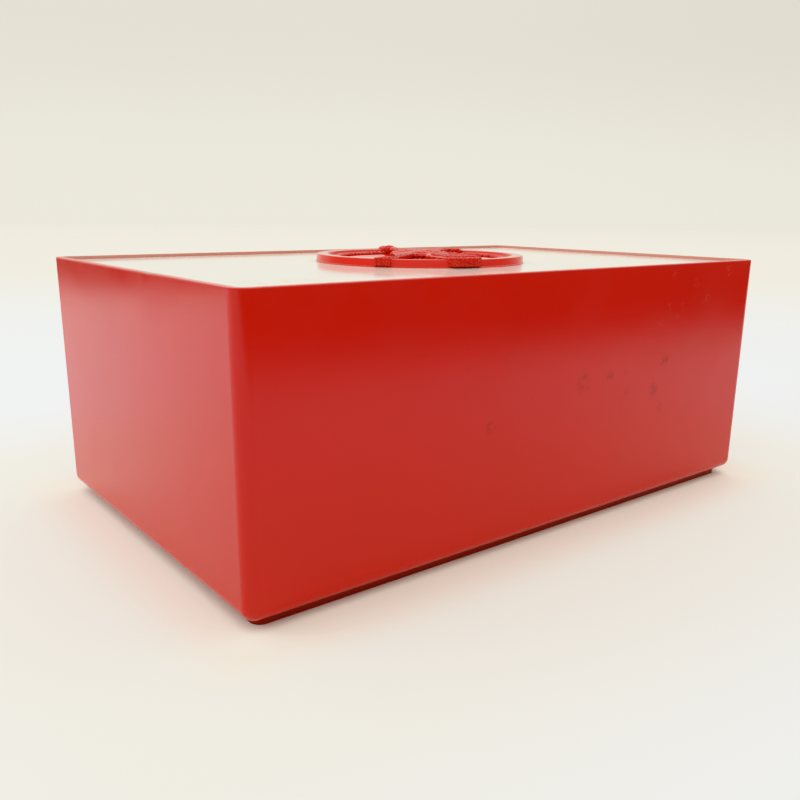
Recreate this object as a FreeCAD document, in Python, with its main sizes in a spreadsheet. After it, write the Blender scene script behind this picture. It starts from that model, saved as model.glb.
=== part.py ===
"""A fleet guessing game packed in its case, in millimetres, +Z up, origin at the middle of the base.

A deep open box holds, from the bottom up: a sight screen lying flat in the hollow of the box's
plinth, a lower board on the ledge round it, an upper board on the lower one's corner posts, and a
drop-in lid with a round medallion on it. Each board is a tray with two peg grids, two peg bins and
five ships plugged into its ocean grid. The stack comes out of the box one piece at a time.
"""

import FreeCAD
import Part
import Sketcher
import math
import os

Vector = FreeCAD.Vector

SIZES = (
    # outer case: an open box whose walls lean out to the rim, with a rounded base edge over a plinth
    ("case_height", 80.0),
    ("case_wall", 2.0),
    ("case_floor", 2.2),
    ("case_corner_radius", 4.0),
    ("case_rim_round", 0.4),
    ("wall_draft", 0.7),
    ("base_round", 3.4),
    ("plinth_inset", 4.5),
    ("plinth_wall", 2.0),
    ("plinth_corner_radius", 3.0),
    # lid: a panel with a skirt, sunk a little below the rim
    ("lid_clearance", 0.3),
    ("lid_recess", 1.0),
    ("lid_thickness", 1.8),
    ("lid_edge_round", 0.4),
    ("lid_skirt_wall", 1.5),
    ("lid_skirt_depth", 6.0),
    ("lid_boss_length", 4.0),
    ("lid_boss_radius", 4.2),
    # medallion: a dished disc with a raised ring, an oar and a boat hook crossed, and a coil of rope
    ("medallion_radius", 35.4),
    ("medallion_draft", 0.4),
    ("ring_height", 2.5),
    ("ring_land", 3.6),
    ("medallion_floor", 0.9),
    ("relief_rise", 0.9),
    ("medallion_turn", 233.0),
    ("oar_spread", 21.0),
    ("oar_shaft_width", 2.6),
    ("oar_blade_width", 13.0),
    ("hook_width", 5.2),
    ("oar_blade_length", 23.0),
    ("oar_overhang", 1.2),
    ("oar_knob_radius", 2.6),
    ("coil_radius", 8.0),
    ("rope_radius", 1.5),
    ("medallion_pin_radius", 1.5),
    ("medallion_pin_circle", 20.0),
    ("medallion_pin_reach", 1.8),
    ("pin_hole_clearance", 0.1),
    ("push_nut_radius", 4.0),
    ("push_nut_thickness", 0.8),
    # sight screen: a flat sheet with a tongue that stands in a board's slot
    ("screen_thickness", 2.0),
    ("screen_clearance", 0.8),
    ("screen_top_gap", 0.4),
    ("screen_corner_radius", 5.0),
    ("tongue_depth", 14.0),
    ("finger_notch_radius", 11.0),
    # board: a tray with two grid windows, two peg bins and stacking posts; its contents set its
    # length and width, and they set the case's
    ("board_clearance", 0.7),
    ("board_height", 16.0),
    ("board_wall", 1.8),
    ("board_deck", 3.0),
    ("board_corner_radius", 2.0),
    ("board_edge_round", 0.6),
    ("side_margin", 8.8),
    ("rear_margin", 6.3),
    ("front_margin", 3.7),
    ("post_radius", 3.5),
    ("post_gap", 0.4),
    ("spigot_radius", 2.2),
    ("spigot_height", 2.5),
    ("socket_clearance", 0.1),
    ("socket_extra_depth", 0.5),
    ("slot_length", 150.0),
    ("slot_clearance", 0.4),
    ("slot_to_rear", 4.2),
    # peg grids
    ("grid_pitch", 8.5),
    ("grid_count", 10.0),
    ("grid_margin", 1.5),
    ("grid_gap", 6.0),
    ("grid_thickness", 1.6),
    ("grid_ledge", 2.0),
    ("grid_clearance", 0.2),
    ("peg_hole_radius", 1.6),
    # peg bins
    ("bin_width", 22.6),
    ("bin_depth", 11.0),
    ("bin_wall", 1.2),
    ("bin_to_grid", 4.0),
    # pegs
    ("peg_radius", 1.45),
    ("peg_tip_radius", 1.1),
    ("peg_tip_length", 0.9),
    ("peg_pin_length", 6.5),
    ("peg_head_radius", 2.2),
    ("peg_head_length", 3.2),
    ("peg_head_round", 0.5),
    ("peg_side_gap", 0.5),
    ("peg_end_gap", 0.9),
    # ships
    ("ship_beam", 7.2),
    ("ship_hull_height", 6.0),
    ("ship_stern_reach", 3.6),
    ("ship_bow_reach", 4.2),
    ("ship_deckhouse_height", 3.0),
    ("ship_deckhouse_width", 4.0),
    ("ship_deckhouse_gap", 0.7),
    ("ship_pin_radius", 1.5),
    ("ship_pin_length", 3.6),
    ("ship_hole_depth", 4.5),
)

MEDALLION_PINS = 3

# Each ship: cells long, the gaps between holes that carry a deckhouse.
SHIPS = {
    "carrier": (5, (2,)),
    "cruiser": (4, (1, 2)),
    "frigate": (3, (1,)),
    "submarine": (3, (0,)),
    "patrol_boat": (2, (0,)),
}

# Where each ship's first hole is, as column and row of the ocean grid, and whether it points along Y.
LAYOUTS = {
    "lower": {
        "carrier": (1, 8, False),
        "cruiser": (8, 3, True),
        "frigate": (2, 5, False),
        "submarine": (0, 1, True),
        "patrol_boat": (4, 1, False),
    },
    "upper": {
        "carrier": (8, 4, True),
        "cruiser": (2, 2, False),
        "frigate": (0, 4, True),
        "submarine": (3, 8, False),
        "patrol_boat": (5, 5, False),
    },
}

ORIGIN_POINT = -1
VERTICAL_AXIS = -2
START = 1
END = 2
CENTRE = 3
TOUCH = 1e-6

doc = FreeCAD.newDocument("FleetGame")
sheet = doc.addObject("Spreadsheet::Sheet", "Sizes")
parts = []


class Size:
    """A number together with the spreadsheet expression that gives it."""

    def __init__(self, value, text):
        self.value = value
        self.text = text

    @staticmethod
    def of(other):
        return other if isinstance(other, Size) else Size(float(other), repr(float(other)))

    def join(self, sign, other, value):
        return Size(value, f"({self.text} {sign} {other.text})")

    def __add__(self, other):
        other = Size.of(other)
        return self.join("+", other, self.value + other.value)

    def __radd__(self, other):
        return Size.of(other) + self

    def __sub__(self, other):
        other = Size.of(other)
        return self.join("-", other, self.value - other.value)

    def __rsub__(self, other):
        return Size.of(other) - self

    def __mul__(self, other):
        other = Size.of(other)
        return self.join("*", other, self.value * other.value)

    def __rmul__(self, other):
        return Size.of(other) * self

    def __truediv__(self, other):
        other = Size.of(other)
        return self.join("/", other, self.value / other.value)

    def __neg__(self):
        return Size(-1.0, "-1") * self


ZERO = Size(0.0, "0")


def fill_sheet():
    """Writes each driving dimension into its own cell, with its name beside it and as its alias."""
    for row, (alias, value) in enumerate(SIZES, start=1):
        sheet.set(f"A{row}", alias)
        sheet.set(f"B{row}", str(value))
        sheet.setAlias(f"B{row}", alias)
    doc.recompute()


def size(alias):
    return Size(float(sheet.get(alias)), f"Sizes.{alias}")


def bind(thing, prop, amount):
    thing.setExpression(prop, amount.text)


def slope(rise, run):
    """The angle, in degrees, that rises so much over a run."""
    return Size(math.degrees(math.atan(rise.value / run.value)), f"atan({rise.text} / {run.text})")


def new_body(label):
    body = doc.addObject("PartDesign::Body", label)
    body.Label = label
    body.AllowCompound = True
    parts.append(body)
    return body


def new_sketch(body, name, height=ZERO, plane="XY_Plane"):
    """A sketch on one of the body's own origin planes, raised by height along the plane's normal."""
    sketch = body.newObject("Sketcher::SketchObject", f"{body.Name}_{name}")
    support = [o for o in body.Origin.OriginFeatures if o.Role == plane]
    sketch.AttachmentSupport = [(support[0], "")]
    sketch.MapMode = "FlatFace"
    bind(sketch, "AttachmentOffset.Base.z", height)
    return sketch


def drive(sketch, constraint, amount):
    """Adds a dimension to a sketch and ties it to its expression."""
    index = sketch.addConstraint(constraint)
    sketch.setExpression(f"Constraints[{index}]", amount.text)


def fix_x(sketch, geometry, end, amount):
    if amount is ZERO:
        sketch.addConstraint(Sketcher.Constraint("PointOnObject", geometry, end, VERTICAL_AXIS))
    else:
        dimension = Sketcher.Constraint("DistanceX", ORIGIN_POINT, START, geometry, end, amount.value)
        drive(sketch, dimension, amount)


def fix_y(sketch, geometry, end, amount):
    if amount is ZERO:
        sketch.addConstraint(Sketcher.Constraint("PointOnObject", geometry, end, ORIGIN_POINT))
    else:
        dimension = Sketcher.Constraint("DistanceY", ORIGIN_POINT, START, geometry, end, amount.value)
        drive(sketch, dimension, amount)


def draw_rounded_rectangle(sketch, length, width, radius, centre_x=ZERO, centre_y=ZERO):
    """Four sides and four corner arcs, centred on a point."""
    first = sketch.GeometryCount
    left = centre_x - length / 2
    right = centre_x + length / 2
    bottom = centre_y - width / 2
    top = centre_y + width / 2
    r = radius.value
    x0, x1, y0, y1 = left.value, right.value, bottom.value, top.value
    corners = ((x1 - r, y0 + r, -90), (x1 - r, y1 - r, 0), (x0 + r, y1 - r, 90), (x0 + r, y0 + r, 180))
    sides = (
        ((x0 + r, y0), (x1 - r, y0)),
        ((x1, y0 + r), (x1, y1 - r)),
        ((x1 - r, y1), (x0 + r, y1)),
        ((x0, y1 - r), (x0, y0 + r)),
    )
    for (start, end), (cx, cy, angle) in zip(sides, corners):
        sketch.addGeometry(Part.LineSegment(Vector(*start, 0), Vector(*end, 0)), False)
        circle = Part.Circle(Vector(cx, cy, 0), Vector(0, 0, 1), r)
        arc = Part.ArcOfCircle(circle, math.radians(angle), math.radians(angle + 90))
        sketch.addGeometry(arc, False)
    for n in range(8):
        joint = Sketcher.Constraint("Tangent", first + n, END, first + (n + 1) % 8, START)
        sketch.addConstraint(joint)
    for n, kind in ((0, "Horizontal"), (2, "Vertical"), (4, "Horizontal"), (6, "Vertical")):
        sketch.addConstraint(Sketcher.Constraint(kind, first + n))
    drive(sketch, Sketcher.Constraint("Radius", first + 1, r), radius)
    for n in (3, 5, 7):
        sketch.addConstraint(Sketcher.Constraint("Equal", first + 1, first + n))
    fix_y(sketch, first, START, bottom)
    fix_x(sketch, first + 2, START, right)
    fix_y(sketch, first + 4, START, top)
    fix_x(sketch, first + 6, START, left)


def draw_polygon(sketch, corners):
    """A closed outline of straight sides through corners, each a pair of sizes."""
    count = len(corners)
    for n, (x, y) in enumerate(corners):
        next_x, next_y = corners[(n + 1) % count]
        start = Vector(x.value, y.value, 0)
        end = Vector(next_x.value, next_y.value, 0)
        sketch.addGeometry(Part.LineSegment(start, end), False)
    for n in range(count):
        sketch.addConstraint(Sketcher.Constraint("Coincident", n, END, (n + 1) % count, START))
    for n, (x, y) in enumerate(corners):
        fix_x(sketch, n, START, x)
        fix_y(sketch, n, START, y)


def draw_rectangle(sketch, length, width, centre_x=ZERO, centre_y=ZERO):
    left = centre_x - length / 2
    right = centre_x + length / 2
    bottom = centre_y - width / 2
    top = centre_y + width / 2
    draw_polygon(sketch, ((left, bottom), (right, bottom), (right, top), (left, top)))


def draw_circles(sketch, radius, centres):
    """Equal circles at centres, each a pair of sizes."""
    first = sketch.GeometryCount
    for n, (x, y) in enumerate(centres):
        circle = Part.Circle(Vector(x.value, y.value, 0), Vector(0, 0, 1), radius.value)
        sketch.addGeometry(circle, False)
        if n == 0:
            drive(sketch, Sketcher.Constraint("Radius", first, radius.value), radius)
        else:
            sketch.addConstraint(Sketcher.Constraint("Equal", first, first + n))
        fix_x(sketch, first + n, CENTRE, x)
        fix_y(sketch, first + n, CENTRE, y)


def volume_of(body):
    return 0.0 if body.Shape.isNull() else body.Shape.Volume


def settle(body, feature, before, adds):
    """Recomputes and makes sure that the feature added or removed material."""
    doc.recompute()
    change = volume_of(body) - before
    if (change if adds else -change) <= TOUCH:
        raise ValueError(f"{feature.Name} changed the volume of {body.Label} by {change}")
    return feature


def pad(body, sketch, length, downward=False, taper=ZERO):
    before = volume_of(body)
    feature = body.newObject("PartDesign::Pad", f"{sketch.Name}_pad")
    feature.Profile = sketch
    feature.Reversed = downward
    bind(feature, "Length", length)
    bind(feature, "TaperAngle", taper)
    return settle(body, feature, before, adds=True)


def pocket(body, sketch, depth=None, upward=False):
    """Cuts down from the sketch, or up, by depth, or right through both ways without one."""
    before = volume_of(body)
    feature = body.newObject("PartDesign::Pocket", f"{sketch.Name}_pocket")
    feature.Profile = sketch
    feature.Reversed = upward
    if depth is None:
        feature.Type = "ThroughAll"
        feature.Midplane = True
    else:
        bind(feature, "Length", depth)
    return settle(body, feature, before, adds=False)


def revolve(body, sketch):
    """Turns the sketch once round its own vertical axis."""
    before = volume_of(body)
    feature = body.newObject("PartDesign::Revolution", f"{sketch.Name}_turn")
    feature.Profile = sketch
    feature.ReferenceAxis = (sketch, ["V_Axis"])
    feature.Angle = 360.0
    return settle(body, feature, before, adds=True)


def how_many(room, pitch):
    """How many things at a pitch fit in some room."""
    return Size.of(int(room.value // pitch.value))


def repeat(body, feature, sketch, columns, rows, column_pitch, row_pitch, adds):
    """Repeats a feature in a rectangle of columns along the sketch's X and rows along its Y."""
    before = volume_of(body)
    grid = body.newObject("PartDesign::MultiTransform", f"{sketch.Name}_grid")
    grid.Originals = [feature]
    patterns = []
    for axis, count, pitch in (("H_Axis", columns, column_pitch), ("V_Axis", rows, row_pitch)):
        if count.value < 2:
            continue
        pattern = body.newObject("PartDesign::LinearPattern", f"{sketch.Name}_{axis}")
        pattern.Direction = (sketch, [axis])
        bind(pattern, "Occurrences", count)
        bind(pattern, "Length", pitch * (count - 1))
        patterns.append(pattern)
    grid.Transformations = patterns
    body.Tip = grid
    return settle(body, grid, before, adds)


def fillet(body, radius, wanted):
    """Rounds the edges of the body whose middle point satisfies wanted."""
    names = []
    for n, edge in enumerate(body.Shape.Edges, start=1):
        middle = edge.valueAt((edge.FirstParameter + edge.LastParameter) / 2)
        if wanted(middle):
            names.append(f"Edge{n}")
    if not names:
        raise ValueError(f"no edge of {body.Label} to round")
    before = volume_of(body)
    base = body.Tip
    feature = body.newObject("PartDesign::Fillet", f"{base.Name}_round")
    feature.Base = (base, names)
    bind(feature, "Radius", radius)
    return settle(body, feature, before, adds=False)


def outside(point, length, width, margin):
    """Whether a point lies within margin of the edge of a centred rectangle, seen from above."""
    return abs(point.x) > length.value / 2 - margin or abs(point.y) > width.value / 2 - margin


def four_corners(x, y):
    return [(x * sx, y * sy) for sx in (-1, 1) for sy in (-1, 1)]


fill_sheet()

# What several pieces share.
grid_side = size("grid_pitch") * size("grid_count") + 2 * size("grid_margin")
board_length = 2 * (grid_side + size("side_margin")) + size("grid_gap")
board_width = (
    size("rear_margin") + grid_side + size("bin_to_grid") + size("bin_width") + size("front_margin")
)
inner_length = board_length + 2 * size("board_clearance")
inner_width = board_width + 2 * size("board_clearance")
inner_corner_radius = size("case_corner_radius") - size("case_wall")
case_length = inner_length + 2 * size("case_wall")
case_width = inner_width + 2 * size("case_wall")
lid_top = size("case_height") - size("lid_recess")
lid_underside = lid_top - size("lid_thickness")
lid_boss_bottom = lid_underside - size("lid_boss_length")
screen_bottom = size("case_floor")
plinth_height = size("screen_thickness") + size("screen_top_gap")
hollow_length = case_length - 2 * (size("plinth_inset") + size("plinth_wall"))
hollow_width = case_width - 2 * (size("plinth_inset") + size("plinth_wall"))
stack_bottom = size("case_floor") + plinth_height
level_pitch = (lid_boss_bottom - stack_bottom) / 2
board_bottom = {"lower": stack_bottom, "upper": stack_bottom + level_pitch}
board_hollow = size("board_height") - size("board_deck")
post_inset = size("lid_clearance") + size("lid_skirt_wall") + size("post_gap") + size("post_radius")
post_x = inner_length / 2 - post_inset
post_y = inner_width / 2 - post_inset
socket_radius = size("spigot_radius") + size("socket_clearance")
socket_depth = size("spigot_height") + size("socket_extra_depth")
grid_centre_x = (grid_side + size("grid_gap")) / 2
grid_centre_y = board_width / 2 - size("rear_margin") - grid_side / 2
grid_bottom = size("board_height") - size("grid_thickness")
bin_centre_y = (size("bin_width") - board_width) / 2 + size("front_margin")
bin_floor_top = size("board_height") - size("bin_depth")
peg_length = size("peg_pin_length") + size("peg_head_length")
pin_angles = [2 * math.pi * n / MEDALLION_PINS for n in range(MEDALLION_PINS)]
pin_centres = [
    (size("medallion_pin_circle") * math.cos(a), size("medallion_pin_circle") * math.sin(a))
    for a in pin_angles
]


def make_outer_case():
    """The open box: walls that lean out over a rounded base edge, on a plinth with a hollow in it."""
    body = new_body("outer_case")
    draft = size("wall_draft")
    sketch = new_sketch(body, "walls", plinth_height)
    radius = size("case_corner_radius") - draft
    draw_rounded_rectangle(sketch, case_length - 2 * draft, case_width - 2 * draft, radius)
    wall_height = size("case_height") - plinth_height
    pad(body, sketch, wall_height, taper=slope(draft, wall_height))
    fillet(body, size("base_round"), lambda p: abs(p.z - plinth_height.value) < TOUCH)
    sketch = new_sketch(body, "plinth")
    inset = 2 * size("plinth_inset")
    radius = size("plinth_corner_radius")
    draw_rounded_rectangle(sketch, case_length - inset, case_width - inset, radius)
    pad(body, sketch, plinth_height)
    sketch = new_sketch(body, "inside", size("case_height"))
    draw_rounded_rectangle(sketch, inner_length, inner_width, inner_corner_radius)
    pocket(body, sketch, size("case_height") - stack_bottom)
    sketch = new_sketch(body, "hollow", stack_bottom)
    draw_rounded_rectangle(sketch, hollow_length, hollow_width, radius - size("plinth_wall"))
    pocket(body, sketch, plinth_height)
    rim = size("case_height").value
    wall = size("case_wall").value
    fillet(
        body,
        size("case_rim_round"),
        lambda p: abs(p.z - rim) < TOUCH and outside(p, case_length, case_width, 0.99 * wall),
    )


def make_lid():
    """The lid: a panel with a skirt inside the case's rim and a socket over each corner post."""
    body = new_body("lid_panel")
    length = inner_length - 2 * size("lid_clearance")
    width = inner_width - 2 * size("lid_clearance")
    skirt = 2 * size("lid_skirt_wall")
    radius = inner_corner_radius - size("lid_clearance")
    inner_radius = size("lid_edge_round")
    sketch = new_sketch(body, "panel", lid_top)
    draw_rounded_rectangle(sketch, length, width, radius)
    pad(body, sketch, size("lid_thickness") + size("lid_skirt_depth"), downward=True)
    sketch = new_sketch(body, "underside", lid_underside)
    draw_rounded_rectangle(sketch, length - skirt, width - skirt, inner_radius)
    pocket(body, sketch, size("lid_skirt_depth"))
    sketch = new_sketch(body, "bosses", lid_underside)
    draw_circles(sketch, size("lid_boss_radius"), four_corners(post_x, post_y))
    pad(body, sketch, size("lid_boss_length"), downward=True)
    sketch = new_sketch(body, "sockets", lid_boss_bottom)
    draw_circles(sketch, socket_radius, four_corners(post_x, post_y))
    pocket(body, sketch, socket_depth, upward=True)
    sketch = new_sketch(body, "pin_holes", lid_top)
    draw_circles(sketch, size("medallion_pin_radius") + size("pin_hole_clearance"), pin_centres)
    pocket(body, sketch)
    top = lid_top.value
    margin = size("lid_skirt_wall").value
    fillet(
        body,
        size("lid_edge_round"),
        lambda p: abs(p.z - top) < TOUCH and outside(p, length, width, margin),
    )


def draw_oar(sketch, blade_width):
    """An oar along the sketch's X: a shaft and a blade with cut corners, its tip past the ring."""
    tip = size("medallion_radius") + size("oar_overhang")
    shoulder = tip - size("oar_blade_length")
    half_blade = blade_width / 2
    half_shaft = size("oar_shaft_width") / 2
    handle = -(size("medallion_radius") - size("ring_land") / 2)
    corner = half_blade / 2
    side = (
        (handle, half_shaft),
        (shoulder - half_blade, half_shaft),
        (shoulder, half_blade - corner / 2),
        (shoulder + half_blade, half_blade),
        (tip - corner, half_blade),
        (tip, half_blade - corner),
    )
    draw_polygon(sketch, [(x, -y) for x, y in side] + list(reversed(side)))


def make_medallion():
    """The lid's round badge, with three pins that go through the lid."""
    body = new_body("medallion")
    outer = size("medallion_radius")
    draft = size("medallion_draft")
    land = size("ring_land")
    floor = size("medallion_floor")
    ring = size("ring_height")
    sketch = new_sketch(body, "section", plane="XZ_Plane")
    draw_polygon(
        sketch,
        (
            (ZERO, ZERO),
            (outer, ZERO),
            (outer - draft, ring),
            (outer - draft - land, ring),
            (outer - 2 * draft - land, floor),
            (ZERO, floor),
        ),
    )
    revolve(body, sketch)
    for name, side, width in (("hook", -1, size("hook_width")), ("oar", 1, size("oar_blade_width"))):
        turn = size("medallion_turn") + side * size("oar_spread")
        sketch = new_sketch(body, name)
        bind(sketch, "AttachmentOffset.Rotation.Angle", turn)
        draw_oar(sketch, width)
        pad(body, sketch, ring + size("relief_rise"))
        sketch = new_sketch(body, f"{name}_knob")
        bind(sketch, "AttachmentOffset.Rotation.Angle", turn)
        draw_circles(sketch, size("oar_knob_radius"), [(land / 2 - outer, ZERO)])
        pad(body, sketch, ring + size("relief_rise"))
    sketch = new_sketch(body, "coil", plane="XZ_Plane")
    draw_circles(sketch, size("rope_radius"), [(size("coil_radius"), ring)])
    revolve(body, sketch)
    sketch = new_sketch(body, "pins")
    draw_circles(sketch, size("medallion_pin_radius"), pin_centres)
    pad(body, sketch, size("lid_thickness") + size("medallion_pin_reach"), downward=True)
    bind(body, "Placement.Base.z", lid_top)


def make_push_nuts():
    """The three steel washers that hold the medallion's pins under the lid."""
    body = new_body("medallion_push_nuts")
    sketch = new_sketch(body, "washers", lid_underside)
    draw_circles(sketch, size("push_nut_radius"), pin_centres)
    draw_circles(sketch, size("medallion_pin_radius") + size("pin_hole_clearance"), pin_centres)
    pad(body, sketch, size("push_nut_thickness"), downward=True)


def make_screen():
    """The sight screen, lying in the plinth's hollow, its tongue towards the front."""
    body = new_body("sight_screen")
    length = hollow_length - 2 * size("screen_clearance")
    rear = hollow_width / 2 - size("screen_clearance")
    height = 2 * rear - size("tongue_depth")
    shoulder = rear - height
    sketch = new_sketch(body, "sheet")
    radius = size("screen_corner_radius")
    draw_rounded_rectangle(sketch, length, height, radius, ZERO, rear - height / 2)
    pad(body, sketch, size("screen_thickness"))
    sketch = new_sketch(body, "tongue")
    tongue_length = size("slot_length") - size("slot_clearance")
    overlap = size("tongue_depth") + radius
    draw_rounded_rectangle(
        sketch, tongue_length, overlap, size("screen_thickness"), ZERO, shoulder + radius - overlap / 2
    )
    pad(body, sketch, size("screen_thickness"))
    sketch = new_sketch(body, "finger_notch")
    draw_circles(sketch, size("finger_notch_radius"), [(ZERO, rear)])
    pocket(body, sketch)
    bind(body, "Placement.Base.z", screen_bottom)


def make_board_tray(level):
    """A board's tray, its underside hollow, with windows and rebates for the two grids."""
    body = new_body(f"{level}_board_tray")
    height = size("board_height")
    skirt = 2 * size("board_wall")
    centres = (-grid_centre_x, grid_centre_x)
    sketch = new_sketch(body, "block")
    draw_rounded_rectangle(sketch, board_length, board_width, size("board_corner_radius"))
    pad(body, sketch, height)
    fillet(body, size("board_edge_round"), lambda p: abs(p.z - height.value) < TOUCH)
    sketch = new_sketch(body, "hollow")
    radius = size("board_corner_radius") / 2
    draw_rounded_rectangle(sketch, board_length - skirt, board_width - skirt, radius)
    pocket(body, sketch, board_hollow, upward=True)
    deck_overlap = size("board_deck") / 2
    corners = four_corners(post_x, post_y)
    sketch = new_sketch(body, "bosses")
    draw_circles(sketch, size("post_radius"), corners)
    pad(body, sketch, board_hollow + deck_overlap)
    wall = 2 * size("bin_wall")
    sketch = new_sketch(body, "bin_shell", height - deck_overlap)
    shell_length = 2 * grid_side + size("grid_gap") + wall
    draw_rectangle(sketch, shell_length, size("bin_width") + wall, ZERO, bin_centre_y)
    pad(body, sketch, size("bin_depth") + size("bin_wall") - deck_overlap, downward=True)
    for n, x in enumerate(centres):
        sketch = new_sketch(body, f"bin_{n}", height)
        draw_rounded_rectangle(sketch, grid_side, size("bin_width"), size("bin_wall"), x, bin_centre_y)
        pocket(body, sketch, size("bin_depth"))
        sketch = new_sketch(body, f"rebate_{n}", height)
        side = grid_side + 2 * size("grid_clearance")
        draw_rounded_rectangle(sketch, side, side, size("grid_margin"), x, grid_centre_y)
        pocket(body, sketch, size("grid_thickness"))
        sketch = new_sketch(body, f"window_{n}", height)
        side = grid_side - 2 * size("grid_ledge")
        draw_rounded_rectangle(sketch, side, side, size("grid_margin"), x, grid_centre_y)
        pocket(body, sketch, size("board_deck"))
    sketch = new_sketch(body, "screen_slot", height)
    slot_width = size("screen_thickness") + size("slot_clearance")
    slot_y = board_width / 2 - size("slot_to_rear")
    draw_rectangle(sketch, size("slot_length"), slot_width, ZERO, slot_y)
    pocket(body, sketch, size("board_deck"))
    sketch = new_sketch(body, "posts", height)
    draw_circles(sketch, size("post_radius"), corners)
    pad(body, sketch, level_pitch - height)
    sketch = new_sketch(body, "spigots", level_pitch)
    draw_circles(sketch, size("spigot_radius"), corners)
    pad(body, sketch, size("spigot_height"))
    sketch = new_sketch(body, "sockets")
    draw_circles(sketch, socket_radius, corners)
    pocket(body, sketch, socket_depth, upward=True)
    bind(body, "Placement.Base.z", board_bottom[level])


def make_grid(level, name, centre_x):
    """A square plate with a hole for each cell, dropped into a board's rebate."""
    body = new_body(f"{level}_{name}_grid")
    sketch = new_sketch(body, "plate")
    draw_rounded_rectangle(sketch, grid_side, grid_side, size("grid_margin") - size("grid_clearance"))
    pad(body, sketch, size("grid_thickness"))
    sketch = new_sketch(body, "hole")
    first = -(size("grid_count") - 1) * size("grid_pitch") / 2
    draw_circles(sketch, size("peg_hole_radius"), [(first, first)])
    hole = pocket(body, sketch)
    count, pitch = size("grid_count"), size("grid_pitch")
    repeat(body, hole, sketch, count, count, pitch, pitch, adds=False)
    bind(body, "Placement.Base.x", centre_x)
    bind(body, "Placement.Base.y", grid_centre_y)
    bind(body, "Placement.Base.z", board_bottom[level] + grid_bottom)


def make_pegs(level, name, centre_x):
    """Pegs lying side by side in two rows in a bin, each a separate solid."""
    body = new_body(f"{level}_{name}_pegs")
    head = size("peg_head_radius")
    pin = size("peg_radius")
    tip = size("peg_tip_radius")
    pin_end = size("peg_pin_length")
    edge = size("peg_head_round")
    column_pitch = 2 * head + size("peg_side_gap")
    row_pitch = peg_length + size("peg_end_gap")
    columns = how_many(grid_side, column_pitch)
    rows = how_many(size("bin_width"), row_pitch)
    sketch = new_sketch(body, "section", bin_floor_top + head)
    bind(sketch, "AttachmentOffset.Base.x", -(column_pitch * (columns - 1)) / 2)
    bind(sketch, "AttachmentOffset.Base.y", -(row_pitch * (rows - 1) + peg_length) / 2)
    draw_polygon(
        sketch,
        (
            (ZERO, ZERO),
            (tip, ZERO),
            (pin, size("peg_tip_length")),
            (pin, pin_end),
            (head, pin_end),
            (head, peg_length - edge),
            (head - edge, peg_length),
            (ZERO, peg_length),
        ),
    )
    peg = revolve(body, sketch)
    repeat(body, peg, sketch, columns, rows, column_pitch, row_pitch, adds=True)
    bind(body, "Placement.Base.x", centre_x)
    bind(body, "Placement.Base.y", bin_centre_y)
    bind(body, "Placement.Base.z", board_bottom[level])


def make_ship(level, name):
    """A ship along its own X, its first hole at its origin, plugged into the ocean grid by two pins."""
    cells, deckhouse_gaps = SHIPS[name]
    column, row, along_y = LAYOUTS[level][name]
    body = new_body(f"{level}_{name}")
    pitch = size("grid_pitch")
    last = pitch * (cells - 1)
    half_beam = size("ship_beam") / 2
    stern = -size("ship_stern_reach")
    bow = last + size("ship_bow_reach")
    hull = size("ship_hull_height")
    quarter = half_beam / 2
    side = (
        (stern, half_beam - quarter),
        (stern + quarter, half_beam),
        (last, half_beam),
        (last + size("ship_bow_reach") / 2, half_beam - quarter),
    )
    outline = [(x, -y) for x, y in side] + [(bow, ZERO)] + list(reversed(side))
    sketch = new_sketch(body, "hull")
    draw_polygon(sketch, outline)
    pad(body, sketch, hull)
    house_length = pitch - 2 * size("peg_hole_radius") - 2 * size("ship_deckhouse_gap")
    for gap in deckhouse_gaps:
        sketch = new_sketch(body, f"deckhouse_{gap}", hull)
        draw_rectangle(sketch, house_length, size("ship_deckhouse_width"), pitch * (gap + 0.5))
        pad(body, sketch, size("ship_deckhouse_height"))
    holes = [(pitch * n if n else ZERO, ZERO) for n in range(cells)]
    sketch = new_sketch(body, "peg_holes", hull)
    draw_circles(sketch, size("peg_hole_radius"), holes)
    pocket(body, sketch, size("ship_hole_depth"))
    sketch = new_sketch(body, "pins")
    draw_circles(sketch, size("ship_pin_radius"), [holes[0], holes[-1]])
    pad(body, sketch, size("ship_pin_length"), downward=True)
    half_count = (size("grid_count") - 1) / 2
    turn = FreeCAD.Rotation(Vector(0, 0, 1), 90 if along_y else 0)
    body.Placement = FreeCAD.Placement(Vector(), turn)
    bind(body, "Placement.Base.x", (column - half_count) * pitch - grid_centre_x)
    bind(body, "Placement.Base.y", (row - half_count) * pitch + grid_centre_y)
    bind(body, "Placement.Base.z", board_bottom[level] + size("board_height"))


def check_document():
    """Stops before anything is written if an object failed or a piece isn't a valid solid."""
    doc.recompute()
    for thing in doc.Objects:
        if {"Invalid", "Error"} & set(thing.State):
            raise ValueError(f"{thing.Label} is {thing.State}")
    for part in parts:
        shape = part.Shape
        if shape.isNull() or not shape.isValid() or not shape.Solids:
            raise ValueError(f"{part.Label} has no valid solid")


def write_parts():
    os.makedirs("parts", exist_ok=True)
    for part in parts:
        part.Shape.exportStep(os.path.join("parts", f"{part.Label}.step"))
        print(part.Label, "solids", len(part.Shape.Solids), "volume", round(part.Shape.Volume, 1))


make_outer_case()
make_lid()
make_medallion()
make_push_nuts()
make_screen()
for board_level in ("lower", "upper"):
    make_board_tray(board_level)
    make_grid(board_level, "ocean", -grid_centre_x)
    make_grid(board_level, "target", grid_centre_x)
    make_pegs(board_level, "hit", -grid_centre_x)
    make_pegs(board_level, "miss", grid_centre_x)
    for ship in SHIPS:
        make_ship(board_level, ship)
check_document()
write_parts()
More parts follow.
